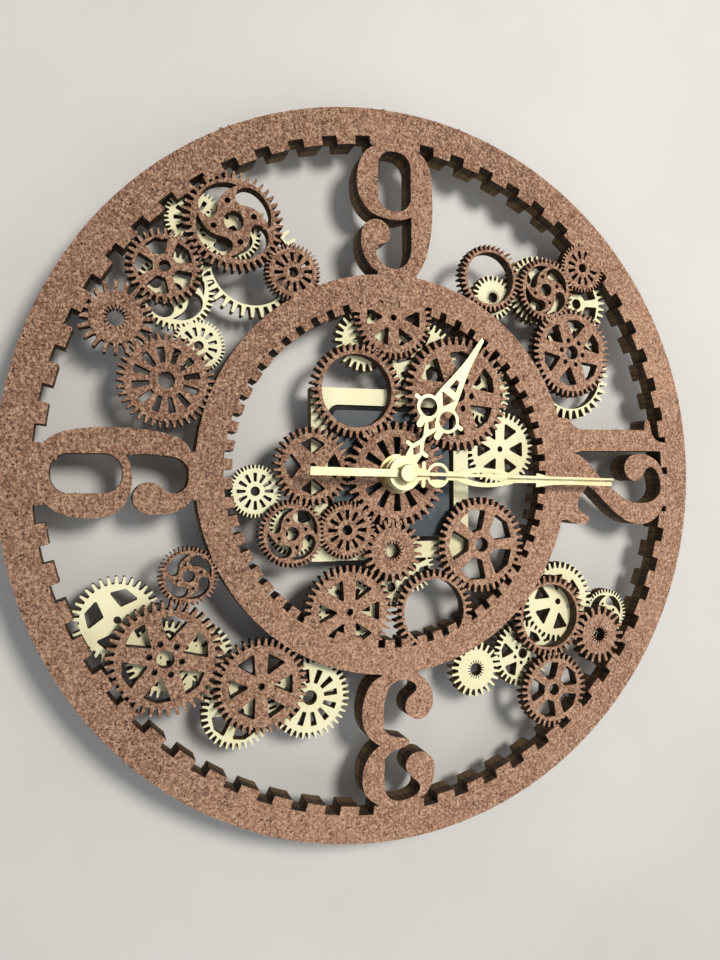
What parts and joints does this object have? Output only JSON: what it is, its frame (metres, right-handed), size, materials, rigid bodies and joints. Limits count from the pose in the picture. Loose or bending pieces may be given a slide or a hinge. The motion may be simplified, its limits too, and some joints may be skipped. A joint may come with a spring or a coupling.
{
  "type": "wall clock",
  "caption": "Round wall clock of two stacked laser-cut boards full of gear shapes, with large numerals, three hands and a battery movement.",
  "frame": {"origin": "on the hands' axis, in the plane of the movement's back, which the clock rests on", "axes": "+Z out of the dial, +Y to 12, +X to 3"},
  "size_m": [0.32, 0.32, 0.035],
  "materials": {
    "rust_painted_board": "laser-cut board with gritty rust-brown paint on its face and scorched edges",
    "gold_painted_board": "laser-cut board with pale gold paint on its face and scorched edges",
    "case_plastic": "dark moulded, fine spark texture",
    "brass": "turned",
    "steel": "pressed strip",
    "battery_jacket": "plain printed-free jacket, satin",
    "board_resin": "resin board with a black blob",
    "moulded_black": "moulded",
    "copper_wire": "enamelled copper wire, wound",
    "iron_plate": "stamped soft iron",
    "moulded_white": "moulded nylon",
    "gold_hand": "thin sheet, pale gold paint"
  },
  "bodies": {
    "clock_frame": {"back_gears_centre": "gold_painted_board", "back_gears_foot": "gold_painted_board", "back_gears_lower_left": "gold_painted_board", "back_gears_lower_right": "gold_painted_board", "back_gears_upper_left": "gold_painted_board", "back_gears_upper_right": "gold_painted_board", "back_inner_ring": "gold_painted_board", "back_movement_frame": "gold_painted_board", "back_numeral_12": "gold_painted_board", "back_numeral_3": "gold_painted_board", "back_numeral_6": "gold_painted_board", "back_numeral_9": "gold_painted_board", "back_outer_ring": "gold_painted_board", "front_gears_centre": "rust_painted_board", "front_gears_lower_left": "rust_painted_board", "front_gears_lower_right": "rust_painted_board", "front_gears_upper_left": "rust_painted_board", "front_gears_upper_right": "rust_painted_board", "front_inner_ring": "rust_painted_board", "front_numeral_12": "rust_painted_board", "front_numeral_3": "rust_painted_board", "front_numeral_6": "rust_painted_board", "front_numeral_9": "rust_painted_board", "front_outer_ring": "rust_painted_board", "movement_case": "case_plastic", "movement_cover": "case_plastic", "threaded_bush": "brass", "washer": "brass", "nut": "brass", "hanger": "steel", "battery": "battery_jacket", "contact_plus": "steel", "contact_minus": "steel", "circuit_board": "board_resin", "coil_bobbin": "moulded_black", "coil_winding": "copper_wire", "stator": "iron_plate"},
    "minute": {"minute_pinion": "moulded_white", "minute_hand": "gold_hand"},
    "hour": {"hour_wheel": "moulded_white", "hour_hand": "gold_hand"},
    "setting": {"setting_wheel": "moulded_white", "setting_knob": "case_plastic"},
    "second": {"second_wheel": "moulded_white", "second_hand": "gold_hand", "second_cap": "gold_hand"},
    "intermediate": {"intermediate_wheel": "moulded_white"},
    "rotor": {"rotor": "moulded_white"},
    "third": {"third_wheel": "moulded_white"},
    "centre": {"centre_wheel": "moulded_white"}
  },
  "joints": [
    {"name": "minute_spin", "type": "hinge", "parent": "clock_frame", "child": "minute", "pos_m": [0, 0, 0.029], "axis": [0, 0, -1], "continuous": true},
    {"name": "hour_spin", "type": "hinge", "parent": "clock_frame", "child": "hour", "pos_m": [0, 0, 0.0265], "axis": [0, 0, -1], "continuous": true},
    {"name": "setting_spin", "type": "hinge", "parent": "clock_frame", "child": "setting", "pos_m": [-0.0102, 0, 0.0117], "axis": [0, 0, -1], "continuous": true},
    {"name": "second_spin", "type": "hinge", "parent": "clock_frame", "child": "second", "pos_m": [0, 0, 0.031], "axis": [0, 0, -1], "continuous": true},
    {"name": "intermediate_spin", "type": "hinge", "parent": "clock_frame", "child": "intermediate", "pos_m": [-0.00156, 0.00886, 0.0057], "axis": [0, 0, -1], "continuous": true},
    {"name": "rotor_spin", "type": "hinge", "parent": "clock_frame", "child": "rotor", "pos_m": [0.00159, 0.01432, 0.0037], "axis": [0, 0, -1], "continuous": true},
    {"name": "third_spin", "type": "hinge", "parent": "clock_frame", "child": "third", "pos_m": [0.00902, 0.00328, 0.0087], "axis": [0, 0, -1], "continuous": true},
    {"name": "centre_spin", "type": "hinge", "parent": "clock_frame", "child": "centre", "pos_m": [0, 0, 0.0102], "axis": [0, 0, -1], "continuous": true}
  ],
  "couplings": [
    {"joint": "hour_spin", "follows": "minute_spin", "ratio": 0.083333},
    {"joint": "setting_spin", "follows": "minute_spin", "ratio": -0.33333},
    {"joint": "intermediate_spin", "follows": "second_spin", "ratio": -5},
    {"joint": "rotor_spin", "follows": "second_spin", "ratio": 30},
    {"joint": "third_spin", "follows": "second_spin", "ratio": -0.125},
    {"joint": "centre_spin", "follows": "second_spin", "ratio": 0.016667}
  ]
}
